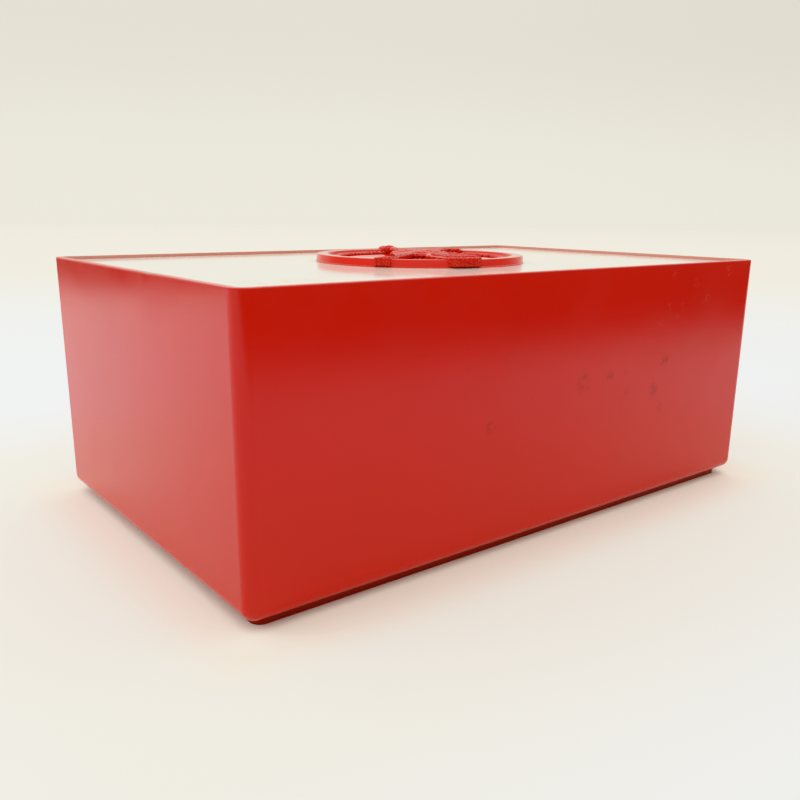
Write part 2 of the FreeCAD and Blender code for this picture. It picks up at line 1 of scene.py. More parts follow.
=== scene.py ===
"""Finishes a packed fleet guessing game: a material for every piece, a finer medallion, finer
ships, and a plain pale stage. It is laid out as an add-on, and every length is in metres."""

import math

import bmesh
import bpy
from bpy.props import FloatProperty, FloatVectorProperty, IntProperty, PointerProperty
from mathutils import Matrix, Quaternion, Vector


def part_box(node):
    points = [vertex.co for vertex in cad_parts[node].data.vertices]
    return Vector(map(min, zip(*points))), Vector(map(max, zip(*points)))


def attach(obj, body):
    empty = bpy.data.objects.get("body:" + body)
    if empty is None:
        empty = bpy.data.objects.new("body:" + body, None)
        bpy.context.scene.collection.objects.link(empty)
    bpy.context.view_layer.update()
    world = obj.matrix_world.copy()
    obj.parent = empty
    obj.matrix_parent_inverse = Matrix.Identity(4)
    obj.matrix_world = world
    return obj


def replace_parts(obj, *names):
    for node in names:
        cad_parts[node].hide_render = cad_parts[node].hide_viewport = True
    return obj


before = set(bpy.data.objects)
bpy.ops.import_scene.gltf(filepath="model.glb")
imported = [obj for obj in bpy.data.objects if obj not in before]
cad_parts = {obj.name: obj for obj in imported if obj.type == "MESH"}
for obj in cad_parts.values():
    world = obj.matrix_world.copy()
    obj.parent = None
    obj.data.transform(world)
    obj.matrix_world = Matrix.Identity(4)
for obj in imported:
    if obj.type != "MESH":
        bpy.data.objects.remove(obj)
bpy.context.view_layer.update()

bl_info = {
    "name": "Fleet Game Case",
    "version": (1, 0, 0),
    "blender": (4, 5, 0),
    "location": "3D View > Sidebar > Fleet Game",
    "description": "Finishes a fleet guessing game packed in its case",
    "category": "Object",
}

MM = 0.001
FULL_TURN = 2 * math.pi

# The case and the medallion's pins.
PLINTH_HEIGHT = 2.4 * MM
PINS = 3
PIN_CIRCLE = 20.0 * MM
PIN_RADIUS = 1.5 * MM

# The boards, their grids of ten cells by ten, and the ships that plug into them.
LEVELS = ("lower", "upper")
GRID_PITCH = 8.5 * MM
HALF_GRID = 5 * GRID_PITCH
STERN_REACH = 3.6 * MM
DECKHOUSE_HEIGHT = 3.0 * MM

# Each ship: how many cells long, and which gaps between its holes carry a deckhouse.
SHIPS = {
    "carrier": (5, (2,)),
    "cruiser": (4, (1, 2)),
    "frigate": (3, (1,)),
    "submarine": (3, (0,)),
    "patrol_boat": (2, (0,)),
}

CASE_LOW, CASE_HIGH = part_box("outer_case")
_, LID_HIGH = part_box("lid_panel")
MEDALLION_LOW, MEDALLION_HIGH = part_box("medallion")

# The plastics' indices of refraction: polystyrene for the case and its small parts, a duller grade
# for the lid, and polypropylene for the boards, the ships and the screen.
STYRENE = 1.59
LID_STYRENE = 1.45
PROPYLENE = 1.48

# Marks on the case's front, in millimetres: each its X, its height and its radius.
STAINS = (
    (-26.9, 38.3, 2.6),
    (-18.6, 38.0, 1.0),
    (-11.5, 44.7, 1.1),
    (11.0, 45.9, 4.2),
    (23.8, 46.8, 2.4),
    (31.5, 46.5, 1.2),
    (32.5, 40.8, 2.0),
    (47.0, 39.1, 3.5),
    (51.5, 33.3, 2.4),
    (52.0, 48.1, 3.2),
)
SPECKS = (
    (52.9, 76.2, 2.2),
    (66.2, 73.2, 2.6),
    (59.8, 65.8, 2.2),
    (51.4, 65.8, 2.4),
    (73.1, 67.4, 2.8),
    (85.4, 76.5, 2.6),
    (56.3, 62.8, 2.0),
    (48.0, 61.2, 2.2),
)
# Where the lid has been prised up, along the left rim: its Y and its radius, in millimetres.
PRY_MARK = (-17.0, 7.0)
# Grime on the lid, in millimetres: each spot's X, its Y and its radius.
GRIME = (
    (-89.0, -44.0, 9.0),
    (-76.0, -47.0, 10.0),
    (17.0, -58.0, 11.0),
    (49.0, -59.0, 12.0),
)

SPECK_COLOUR = (0.75, 0.45, 0.40)
# The pale brown of the painted reflection of the lid on the case's inner wall.
LID_REFLECTION_COLOUR = (0.75, 0.48, 0.38)
PRY_COLOUR = (0.30, 0.16, 0.06)
GRIME_COLOUR = (0.42, 0.40, 0.24)
LID_SCRATCH_COLOUR = (0.55, 0.53, 0.47)
STEEL_DARK, STEEL_LIGHT = (0.55, 0.55, 0.56), (0.72, 0.72, 0.72)
TARNISH_COLOUR = (0.36, 0.30, 0.24)
BLACK = (0.0, 0.0, 0.0)
FLAG_BLACK = (0.04, 0.04, 0.04)

# The floor by the case, in the open round it, further off and far off: its colour and its glow.
# The cream colour by the case is a painted shadow tint, and the glow is painted light that lifts
# the floor's shade, bluish further off and warm far off.
FLOOR_TONES_AND_PAINTED_LIGHT = (
    ((0.88, 0.86, 0.77), BLACK),
    ((0.46, 0.467, 0.425), (0.91, 0.905, 0.85)),
    ((0.465, 0.478, 0.482), (0.885, 0.915, 0.94)),
    ((0.47, 0.46, 0.415), (0.885, 0.87, 0.785)),
)
BACK_WALL = (0.93, 0.905, 0.80)
NEAR_WALLS = (0.60, 0.59, 0.565)
CEILING = (1.45, 1.42, 1.36)
WINDOW_LIGHT = (0.86, 0.94, 1.0)


# Materials


class Value:
    """A number that changes over a surface. Arithmetic on it adds Math nodes."""

    def __init__(self, finish, socket):
        self.finish = finish
        self.socket = socket

    def math(self, operation, *others):
        inputs = dict(enumerate((self, *others)))
        return self.finish.value("ShaderNodeMath", {"operation": operation}, inputs)

    def __add__(self, other):
        return self.math("ADD", other)

    def __sub__(self, other):
        return self.math("SUBTRACT", other)

    def __mul__(self, other):
        return self.math("MULTIPLY", other)

    def __truediv__(self, other):
        return self.math("DIVIDE", other)

    def __abs__(self):
        return self.math("ABSOLUTE")

    def __radd__(self, other):
        return self.math("ADD", other)

    def __rmul__(self, other):
        return self.math("MULTIPLY", other)

    def __rsub__(self, other):
        return self.finish.value("ShaderNodeMath", {"operation": "SUBTRACT"}, {0: other, 1: self})

    def over(self, low, high):
        """0 at low and under, 1 at high and over, and smooth between."""
        settings = {"interpolation_type": "SMOOTHSTEP"}
        return self.finish.value("ShaderNodeMapRange", settings, {0: self, 1: low, 2: high})

    def larger(self, other):
        return self.math("MAXIMUM", other)

    def smaller(self, other):
        return self.math("MINIMUM", other)


class Nodes:
    """The nodes of a material or a room, laid on the coordinates of a point or a direction."""

    def __init__(self, owner, output, coordinates):
        owner.use_nodes = True
        self.tree = owner.node_tree
        self.tree.nodes.clear()
        self.output = self.node(output)
        self.place = self.node("ShaderNodeTexCoord").outputs[coordinates]

    def feed(self, socket, given):
        if isinstance(given, Value):
            given = given.socket
        if isinstance(given, bpy.types.NodeSocket):
            self.tree.links.new(given, socket)
        elif socket.type == "RGBA" and len(given) == 3:
            socket.default_value = (*given, 1.0)
        else:
            socket.default_value = given

    def node(self, kind, settings=None, inputs=None):
        """Adds a node of a kind, with its settings, then the values or links of its sockets."""
        made = self.tree.nodes.new(kind)
        for name, setting in (settings or {}).items():
            setattr(made, name, setting)
        for key, given in (inputs or {}).items():
            self.feed(made.inputs[key], given)
        return made

    def value(self, kind, settings=None, inputs=None, output=0):
        return Value(self, self.node(kind, settings, inputs).outputs[output])

    def axes(self):
        """The X, Y and Z of a point, as three values."""
        split = self.node("ShaderNodeSeparateXYZ", inputs={0: self.place})
        return tuple(Value(self, socket) for socket in split.outputs)

    def mix(self, factor, low, high):
        """A colour between two."""
        node = self.node("ShaderNodeMix", {"data_type": "RGBA"}, {0: factor, 6: low, 7: high})
        return node.outputs[2]


class Finish(Nodes):
    """A material being made. Its patterns lie on Object coordinates."""

    def __init__(self, name, **constants):
        self.material = bpy.data.materials.new(name)
        super().__init__(self.material, "ShaderNodeOutputMaterial", "Object")
        self.shader = self.node("ShaderNodeBsdfPrincipled")
        self.feed(self.output.inputs["Surface"], self.shader.outputs["BSDF"])
        self.set(**constants)

    def set(self, **sockets):
        """Fills the shader's sockets, named in lower case with underscores for spaces."""
        named = {socket.name.lower().replace(" ", "_"): socket for socket in self.shader.inputs}
        for name, given in sockets.items():
            self.feed(named[name], given)

    def colour(self):
        """What already feeds the base colour."""
        return self.shader.inputs["Base Color"].links[0].from_socket

    def noise(self, size, detail=3.0, roughness=0.55, stretch=(1, 1, 1), turn=(0, 0, 0)):
        """Noise from 0 to 1 with features about size across, longer along an axis by stretch."""
        laid = {0: self.place, "Rotation": turn, "Scale": tuple(1.0 / s for s in stretch)}
        mapped = self.node("ShaderNodeMapping", inputs=laid).outputs[0]
        inputs = {0: mapped, "Scale": 1.0 / size, "Detail": detail, "Roughness": roughness}
        return self.value("ShaderNodeTexNoise", inputs=inputs)

    def cells(self, size):
        """Distance from the middle of the nearest of many pebbles of about a size."""
        return self.value("ShaderNodeTexVoronoi", inputs={0: self.place, "Scale": 1.0 / size})

    def distance(self, point):
        settings = {"operation": "DISTANCE"}
        return self.value("ShaderNodeVectorMath", settings, {0: self.place, 1: point}, "Value")

    def bump(self, height, distance, strength=1.0):
        inputs = {"Height": height, "Distance": distance, "Strength": strength}
        return self.node("ShaderNodeBump", inputs=inputs).outputs[0]


def scaled(colour, factor):
    return tuple(min(1.0, c * factor) for c in colour)


def near_marks(finish, marks):
    """1 at each mark, a point and a radius in millimetres, and 0 past its radius."""
    total = None
    for point, radius in marks:
        reach = radius * MM
        near = 1.0 - finish.distance(Vector(point) * MM).over(reach * 0.35, reach)
        total = near if total is None else total.larger(near)
    return total


def scratches(finish, length, density, turn):
    """Fine scratches, mostly one way: 1 on a scratch and 0 off it. Density is from 0 to 1."""
    streaks = finish.noise(0.12 * length, 2.0, 0.5, stretch=(8.0, 1.0, 8.0), turn=turn)
    gaps = finish.noise(0.9 * length, 1.0)
    line = 1.0 - abs(streaks - 0.5).over(0.0, 0.006)
    return line * gaps.over(1.0 - density, 1.08 - density)


def gloss_red(name, colour, wear, gloss):
    """Red moulded plastic: a shallow ripple, fine scratches and thumbed, dulled patches."""
    finish = Finish(name, ior=STYRENE)
    thumbed = finish.noise(22 * MM, 4.0, 0.6).over(0.42, 0.7)
    scratch = scratches(finish, 9 * MM, 0.34 * wear, (0.2, 0.5, 0.9))
    cloud = finish.noise(60 * MM, 2.0)
    base = finish.mix(cloud, scaled(colour, 0.93), scaled(colour, 1.05))
    base = finish.mix(scratch * 0.12, base, scaled(colour, 1.4))
    ripple = finish.noise(35 * MM, 1.0)
    grain = finish.noise(0.5 * MM, 2.0)
    height = ripple + grain * 0.012 - scratch * 0.008
    finish.set(
        base_color=base,
        roughness=gloss + thumbed * 0.06 * wear + scratch * 0.10 + grain * 0.04,
        normal=finish.bump(height, 0.12 * MM, 0.8),
    )
    return finish


def case_material(colours):
    """The case's red: stains and specks on the front, a worn and prised rim, a painted reflection
    of the lid inside the rim, and painted shade on the plinth.
    """
    finish = gloss_red("case_red_plastic", colours.case, wear=1.0, gloss=0.13)
    left, front, top = CASE_LOW.x / MM, CASE_LOW.y / MM, CASE_HIGH.z / MM
    stains = near_marks(finish, [((x, front, z), radius) for x, z, radius in STAINS])
    stains *= finish.noise(2.2 * MM, 4.0, 0.7).over(0.40, 0.62)
    specks = near_marks(finish, [((x, front, z), radius) for x, z, radius in SPECKS])
    specks *= finish.noise(0.9 * MM, 3.0).over(0.52, 0.62)

    x, y, z = finish.axes()
    rim = z.over(CASE_HIGH.z - 0.7 * MM, CASE_HIGH.z)
    nicks = rim * finish.noise(1.4 * MM, 3.0, stretch=(1.0, 1.0, 3.0)).over(0.6, 0.7)
    pry_y, pry_radius = PRY_MARK
    pried = near_marks(finish, [((left, pry_y, top), pry_radius)]) * rim
    pried *= finish.noise(2 * MM, 3.0).over(0.35, 0.6)
    # A painted reflection of the pale lid on the inside of the wall, past the lid's edge, on the
    # back and the right.
    outwards = (x - CASE_HIGH.x).larger(y - CASE_HIGH.y)
    inner_wall = outwards.over(-3.0 * MM, -2.5 * MM) * (1.0 - outwards.over(-1.8 * MM, -1.5 * MM))
    lid_reflection = inner_wall * z.over(CASE_HIGH.z - 1.4 * MM, CASE_HIGH.z - 1.0 * MM)
    # Painted shade: the plinth under the case's overhang is darkened to stand in for its shadow.
    plinth_shade = 1.0 - z.over(PLINTH_HEIGHT - 0.2 * MM, PLINTH_HEIGHT + 0.2 * MM)

    base = finish.mix(stains * 0.55, finish.colour(), scaled(colours.case, 0.4))
    base = finish.mix(specks * 0.12, base, SPECK_COLOUR)
    base = finish.mix(nicks * 0.4, base, scaled(colours.case, 1.6))
    # Painted reflection of the lid on the inner wall.
    base = finish.mix(lid_reflection * 0.6, base, LID_REFLECTION_COLOUR)
    base = finish.mix(pried * 0.8, base, PRY_COLOUR)
    # Painted shade on the plinth.
    base = finish.mix(plinth_shade * 0.8, base, scaled(colours.case, 0.25))
    finish.set(base_color=base)
    return finish.material


def lid_material(colours):
    """The lid's white: slightly yellowed, rubbed, with grime against the rim."""
    finish = Finish("lid_white_plastic", ior=LID_STYRENE)
    x, y, _ = finish.axes()
    to_rim = (LID_HIGH.x - abs(x)).smaller(LID_HIGH.y - abs(y))
    patches = finish.noise(17 * MM, 3.0).over(0.52, 0.66)
    streaks = finish.noise(1.3 * MM, 4.0, 0.7, stretch=(3.0, 1.0, 1.0)).over(0.45, 0.62)
    rim_grime = (1.0 - to_rim.over(0.6 * MM, 5.0 * MM)) * patches * streaks
    top = LID_HIGH.z / MM
    spots = near_marks(finish, [((*spot, top), radius) for *spot, radius in GRIME])
    spots *= finish.noise(1.6 * MM, 4.0, 0.7, stretch=(2.5, 1.0, 1.0)).over(0.5, 0.6)
    grime = rim_grime * 0.5 + spots

    cloud = finish.noise(80 * MM, 2.0)
    scratch = scratches(finish, 12 * MM, 0.45, (0.0, 0.0, 0.35))
    smudge = finish.noise(15 * MM, 4.0, 0.6).over(0.45, 0.72)
    base = finish.mix(cloud, colours.lid, scaled(colours.lid, 0.97))
    base = finish.mix(grime.smaller(1.0) * 0.7, base, GRIME_COLOUR)
    base = finish.mix(scratch * 0.18, base, LID_SCRATCH_COLOUR)
    sink = finish.noise(90 * MM, 0.0)
    grain = finish.noise(0.6 * MM, 2.0)
    finish.set(
        base_color=base,
        roughness=0.09 + smudge * 0.07 + grime * 0.3 + scratch * 0.2,
        normal=finish.bump(sink + grain * 0.01 - scratch * 0.015, 0.25 * MM, 0.8),
    )
    return finish.material


def medallion_material(colours):
    """The medallion's smooth red, for its ring and dish."""
    return gloss_red("medallion_red_plastic", colours.medallion, wear=0.4, gloss=0.03).material


def relief_material(colours):
    """The medallion's pebbled red, for its raised figures, with a painted highlight on each
    pebble's crown and painted shade between the pebbles.
    """
    finish = Finish("medallion_pebbled_plastic", ior=STYRENE)
    pebble_rise_and_sheen = 1.0 - finish.cells(0.95 * MM).over(0.0, 0.5)
    fine = finish.noise(0.45 * MM, 2.0)
    # Painted highlight on the pebbles' crowns and painted shade between them; the same pattern
    # also raises the pebbles' bumps.
    base = finish.mix(pebble_rise_and_sheen, scaled(colours.medallion, 0.9), scaled(colours.medallion, 1.25))
    finish.set(
        base_color=base,
        roughness=0.16 + fine * 0.08,
        normal=finish.bump(pebble_rise_and_sheen + fine * 0.2, 0.4 * MM, 1.0),
    )
    return finish.material


def grained_plastic(name, colour, grain_size=0.45 * MM, depth=0.03 * MM, gloss=0.42):
    """Moulded plastic with a fine grain, glossier in rubbed patches, and scratched a little with
    paler scratches.
    """
    finish = Finish(name, ior=PROPYLENE)
    cloud = finish.noise(40 * MM, 2.0)
    grain = finish.noise(grain_size, 3.0, 0.6)
    rub = finish.noise(9 * MM, 4.0, 0.65).over(0.5, 0.75)
    scratch = scratches(finish, 8 * MM, 0.4, (0.1, 0.2, 0.5))
    base = finish.mix(cloud, scaled(colour, 0.9), scaled(colour, 1.1))
    base = finish.mix(scratch * 0.3, base, scaled(colour, 1.9))
    finish.set(
        base_color=base,
        roughness=gloss + grain * 0.12 - rub * 0.10,
        normal=finish.bump(grain - scratch * 0.3, depth, 0.9),
    )
    return finish


def grid_material(name, colour, line_colour, grid):
    """A peg grid's plastic with a thin printed line between every two rows of holes."""
    finish = grained_plastic(name, colour, grain_size=0.3 * MM, depth=0.015 * MM, gloss=0.26)
    low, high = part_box(grid)
    middle = (low + high) / 2
    x, y, _ = finish.axes()
    lines = []
    for along, centre in ((x, middle.x), (y, middle.y)):
        cells = (along - centre) / GRID_PITCH
        to_line = abs(cells - cells.math("ROUND")) * GRID_PITCH
        lines.append(1.0 - to_line.over(0.18 * MM, 0.26 * MM))
    from_middle = abs(x - middle.x).larger(abs(y - middle.y))
    on_grid = 1.0 - from_middle.over(HALF_GRID + 0.2 * MM, HALF_GRID + 0.3 * MM)
    worn = finish.noise(3 * MM, 4.0, 0.7).over(0.28, 0.42)
    printed = lines[0].larger(lines[1]) * on_grid * worn
    finish.set(base_color=finish.mix(printed * 0.9, finish.colour(), line_colour))
    return finish.material


def steel_material():
    """Thin spring steel, rolled one way."""
    finish = Finish("push_nut_steel", metallic=1.0)
    rolled = finish.noise(0.25 * MM, 3.0, 0.6, stretch=(1.0, 14.0, 1.0))
    tarnish = finish.noise(2.5 * MM, 3.0).over(0.45, 0.7)
    base = finish.mix(rolled, STEEL_DARK, STEEL_LIGHT)
    finish.set(
        base_color=finish.mix(tarnish * 0.4, base, TARNISH_COLOUR),
        roughness=0.28 + rolled * 0.14 + tarnish * 0.12,
        normal=finish.bump(rolled, 0.01 * MM, 0.7),
    )
    return finish.material


def peg_material(name, colour):
    """Small glossy pegs, each a slightly different shade."""
    finish = Finish(name, ior=STYRENE)
    shade = finish.noise(5 * MM, 0.0)
    grain = finish.noise(0.4 * MM, 2.0)
    finish.set(
        base_color=finish.mix(shade, scaled(colour, 0.88), scaled(colour, 1.06)),
        roughness=0.22 + grain * 0.08,
        normal=finish.bump(grain, 0.01 * MM, 0.8),
    )
    return finish.material


def paint(node, material):
    """Gives a CAD node one material."""
    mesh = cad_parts[node].data
    mesh.materials.clear()
    mesh.materials.append(material)


# Mesh making


SMOOTH_BELOW = math.radians(35)


def finished(name, bm, material):
    """Turns a bmesh into an object of the scene, with a material."""
    mesh = bpy.data.meshes.new(name)
    bm.to_mesh(mesh)
    bm.free()
    mesh.materials.append(material)
    piece = bpy.data.objects.new(name, mesh)
    bpy.context.scene.collection.objects.link(piece)
    return piece


def settled(name, bm, material, body):
    """Turns a bmesh into a smooth-shaded piece that rides on a body."""
    piece = finished(name, bm, material)
    for face in piece.data.polygons:
        face.use_smooth = True
    piece.data.set_sharp_from_angle(angle=SMOOTH_BELOW)
    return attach(piece, body)


def bevel_sharp(bm, width, segments=2, angle=math.radians(40)):
    """Rounds the edges where two faces meet at more than an angle."""
    edges = [e for e in bm.edges if e.is_manifold and e.calc_face_angle(0.0) > angle]
    bmesh.ops.bevel(
        bm,
        geom=edges,
        offset=width,
        affect="EDGES",
        segments=segments,
        profile=0.5,
        material=-1,
        clamp_overlap=True,
    )


def face_outwards(bm):
    """Points every face of a bmesh's closed shells outwards."""
    bmesh.ops.recalc_face_normals(bm, faces=bm.faces)


def mirrored(side):
    """A whole outline from the side of it that lies under the X axis."""
    return side + [(x, -y) for x, y in reversed(side)]


def prism(bm, outline, low, high):
    """A block with an outline, a list of X and Y, between two heights. Returns its top face."""
    ring = [bm.verts.new((x, y, low)) for x, y in outline]
    bottom = bm.faces.new(ring)
    made = bmesh.ops.extrude_face_region(bm, geom=[bottom])["geom"]
    raised = [v for v in made if isinstance(v, bmesh.types.BMVert)]
    bmesh.ops.translate(bm, verts=raised, vec=(0, 0, high - low))
    return next(f for f in made if isinstance(f, bmesh.types.BMFace))


def stepped(bm, face, *steps):
    """Insets a face once for each step, a distance inwards and a rise."""
    for inwards, rise in steps:
        bmesh.ops.inset_region(bm, faces=[face], thickness=inwards, depth=rise)


def spun(bm, profile, steps):
    """A closed shape turned once round Z from a profile, a list of radius and height."""
    verts = [bm.verts.new((r, 0.0, z)) for r, z in profile]
    edges = [bm.edges.new(pair) for pair in zip(verts, verts[1:])]
    bmesh.ops.spin(
        bm,
        geom=verts + edges,
        cent=(0, 0, 0),
        axis=(0, 0, 1),
        angle=FULL_TURN,
        steps=steps,
        use_merge=True,
    )
    bmesh.ops.remove_doubles(bm, verts=bm.verts, dist=0.001 * MM)


def place(turn=0.0, shift=(0, 0, 0)):
    """A turn about Z, then a shift."""
    return Matrix.Translation(shift) @ Matrix.Rotation(turn, 4, "Z")


def rod(bm, start, end, radius, end_radius=None, sides=16):
    """A round bar between two points, tapered when it has a second radius. Returns its points."""
    start, end = Vector(start), Vector(end)
    along = end - start
    lie = along.to_track_quat("Z", "Y").to_matrix().to_4x4()
    made = bmesh.ops.create_cone(
        bm,
        cap_ends=True,
        segments=sides,
        radius1=radius,
        radius2=radius if end_radius is None else end_radius,
        depth=along.length,
        matrix=Matrix.Translation((start + end) / 2) @ lie,
    )
    return made["verts"]


def ball(bm, centre, radius, squash=(1, 1, 1), sides=16):
    """A ball, flattened along an axis by squash. Returns its points."""
    made = bmesh.ops.create_uvsphere(
        bm,
        u_segments=sides,
        v_segments=sides // 2,
        radius=radius,
        matrix=Matrix.Translation(centre) @ Matrix.Diagonal((*squash, 1.0)),
    )
    return made["verts"]


def hoop(bm, centre, axis, radius, thickness, steps=20, sides=8):
    """A ring of round section about an axis through its centre."""
    centre, axis = Vector(centre), Vector(axis).normalized()
    out = axis.orthogonal().normalized()
    side = axis.cross(out)
    lie = side.to_track_quat("Z", "Y").to_matrix().to_4x4()
    section = Matrix.Translation(centre + out * radius) @ lie
    made = bmesh.ops.create_circle(bm, segments=sides, radius=thickness, matrix=section)
    edges = list({edge for vert in made["verts"] for edge in vert.link_edges})
    bmesh.ops.spin(
        bm,
        geom=made["verts"] + edges,
        cent=centre,
        axis=axis,
        angle=FULL_TURN,
        steps=steps,
        use_merge=True,
    )


def softened(node, width, material, body):
    """Swaps a CAD node for a copy with its doubles merged and its sharp edges rounded."""
    bm = bmesh.new()
    bm.from_mesh(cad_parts[node].data)
    bmesh.ops.remove_doubles(bm, verts=bm.verts, dist=0.002 * MM)
    bmesh.ops.dissolve_limit(bm, angle_limit=math.radians(1), verts=bm.verts, edges=bm.edges)
    bevel_sharp(bm, width, 2, math.radians(50))
    piece = settled(f"{node}_moulding", bm, material, body)
    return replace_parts(piece, node)


# Settings


class FleetColours(bpy.types.PropertyGroup):
    case: FloatVectorProperty(
        name="Case",
        description="Colour of the outer case",
        subtype="COLOR",
        default=(0.53, 0.012, 0.0055),
    )
    lid: FloatVectorProperty(
        name="Lid",
        description="Colour of the lid's panel",
        subtype="COLOR",
        default=(0.83, 0.82, 0.745),
    )
    medallion: FloatVectorProperty(
        name="Medallion",
        description="Colour of the medallion",
        subtype="COLOR",
        default=(0.66, 0.022, 0.010),
    )
    tray: FloatVectorProperty(
        name="Trays",
        description="Colour of the board trays",
        subtype="COLOR",
        default=(0.045, 0.065, 0.11),
    )
    ocean: FloatVectorProperty(
        name="Ocean grid",
        description="Colour of the ocean grids",
        subtype="COLOR",
        default=(0.02, 0.13, 0.32),
    )
    target: FloatVectorProperty(
        name="Target grid",
        description="Colour of the target grids",
        subtype="COLOR",
        default=(0.03, 0.22, 0.36),
    )
    grid_line: FloatVectorProperty(
        name="Grid lines",
        description="Colour of the printed lines",
        subtype="COLOR",
        default=(0.62, 0.72, 0.80),
    )
    ship: FloatVectorProperty(
        name="Ships",
        description="Colour of the ships",
        subtype="COLOR",
        default=(0.20, 0.22, 0.24),
    )
    screen: FloatVectorProperty(
        name="Screen",
        description="Colour of the sight screen",
        subtype="COLOR",
        default=(0.30, 0.32, 0.35),
    )
    hit_peg: FloatVectorProperty(
        name="Hit pegs",
        description="Colour of the hit pegs",
        subtype="COLOR",
        default=(0.55, 0.012, 0.012),
    )
    miss_peg: FloatVectorProperty(
        name="Miss pegs",
        description="Colour of the miss pegs",
        subtype="COLOR",
        default=(0.80, 0.80, 0.76),
    )


class FleetMedallion(bpy.types.PropertyGroup):
    radius: FloatProperty(
        name="Radius",
        description="Radius of the ring at its foot",
        unit="LENGTH",
        default=MEDALLION_HIGH.x,
    )
    ring_height: FloatProperty(
        name="Ring height",
        description="Height of the ring's land",
        unit="LENGTH",
        default=2.5 * MM,
    )
    land: FloatProperty(
        name="Ring land",
        description="Width of the ring's flat top",
        unit="LENGTH",
        default=3.6 * MM,
    )
    floor: FloatProperty(
        name="Dish floor",
        description="Height of the floor inside the ring",
        unit="LENGTH",
        default=0.9 * MM,
    )
    relief: FloatProperty(
        name="Relief",
        description="Height of the oar above the ring",
        unit="LENGTH",
        default=0.9 * MM,
    )
    turn: FloatProperty(
        name="Turn",
        description="Direction midway between the oar's blade and the boat hook's grip",
        subtype="ANGLE",
        default=math.radians(233),
    )
    spread: FloatProperty(
        name="Spread",
        description="Half the angle between the oar and the boat hook",
        subtype="ANGLE",
        default=math.radians(21),
    )
    rope_beads: IntProperty(name="Rope turns", description="Twists in the rope border", default=92)


class FleetStage(bpy.types.PropertyGroup):
    lens: FloatProperty(name="Lens", description="Focal length in millimetres", default=36.29)
    heading: FloatProperty(
        name="Heading",
        description="Camera's heading from +Y to +X",
        subtype="ANGLE",
        default=math.radians(38.2),
    )
    dip: FloatProperty(
        name="Dip",
        description="Angle that the camera looks down",
        subtype="ANGLE",
        default=math.radians(13.28),
    )
    roll: FloatProperty(
        name="Roll",
        description="Camera's turn about its own axis",
        subtype="ANGLE",
        default=math.radians(0.59),
    )
    eye: FloatVectorProperty(
        name="Eye",
        description="Camera's place",
        subtype="TRANSLATION",
        default=(-178.4 * MM, -216.7 * MM, 96.1 * MM),
    )
    floor_radius: FloatProperty(
        name="Floor",
        description="Radius of the round floor",
        unit="LENGTH",
        default=6.0,
    )


# Operators


class FLEET_OT_case(bpy.types.Operator):
    """Finishes the outer case"""

    bl_idname = "fleet.case"
    bl_label = "Case"

    def execute(self, context):
        paint("outer_case", case_material(context.scene.fleet_colours))
        return {"FINISHED"}


class FLEET_OT_lid(bpy.types.Operator):
    """Finishes the lid and the nuts under it"""

    bl_idname = "fleet.lid"
    bl_label = "Lid"

    def execute(self, context):
        paint("lid_panel", lid_material(context.scene.fleet_colours))
        paint("medallion_push_nuts", steel_material())
        return {"FINISHED"}


